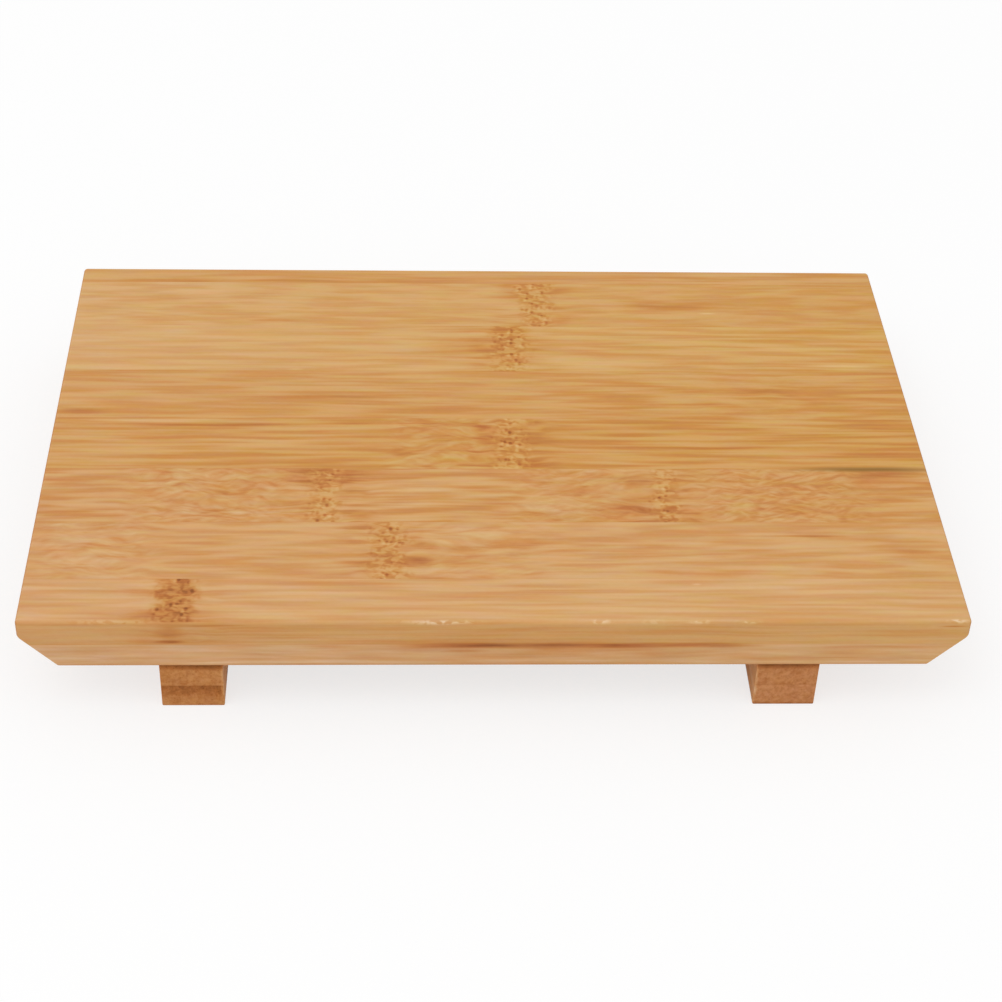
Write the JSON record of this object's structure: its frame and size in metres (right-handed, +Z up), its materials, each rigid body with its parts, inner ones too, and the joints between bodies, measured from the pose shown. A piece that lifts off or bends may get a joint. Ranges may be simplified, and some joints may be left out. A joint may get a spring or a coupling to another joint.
{
  "type": "sushi geta board",
  "caption": "Bamboo serving board for sushi: a laminated board of glued bamboo strips with bevelled ends, raised on cross legs",
  "frame": {"origin": "on the table, under the middle of the board", "axes": "+X along the board to the diner's right, -Y towards the diner, +Z up"},
  "size_m": [0.27, 0.18, 0.033],
  "materials": {
    "top_bamboo": "satin",
    "bottom_bamboo": "satin",
    "leg_bamboo": "satin",
    "dowel_bamboo": "matte"
  },
  "bodies": {
    "root": {"top_strip_1": "top_bamboo", "top_strip_2": "top_bamboo", "top_strip_3": "top_bamboo", "top_strip_4": "top_bamboo", "top_strip_5": "top_bamboo", "top_strip_6": "top_bamboo", "top_strip_7": "top_bamboo", "top_strip_8": "top_bamboo", "bottom_strip_1": "bottom_bamboo", "bottom_strip_2": "bottom_bamboo", "bottom_strip_3": "bottom_bamboo", "bottom_strip_4": "bottom_bamboo", "bottom_strip_5": "bottom_bamboo", "bottom_strip_6": "bottom_bamboo", "bottom_strip_7": "bottom_bamboo", "bottom_strip_8": "bottom_bamboo", "left_leg_upper_ply": "leg_bamboo", "left_leg_lower_ply": "leg_bamboo", "right_leg_upper_ply": "leg_bamboo", "right_leg_lower_ply": "leg_bamboo", "left_leg_dowels": "dowel_bamboo", "right_leg_dowels": "dowel_bamboo"}
  },
  "joints": []
}
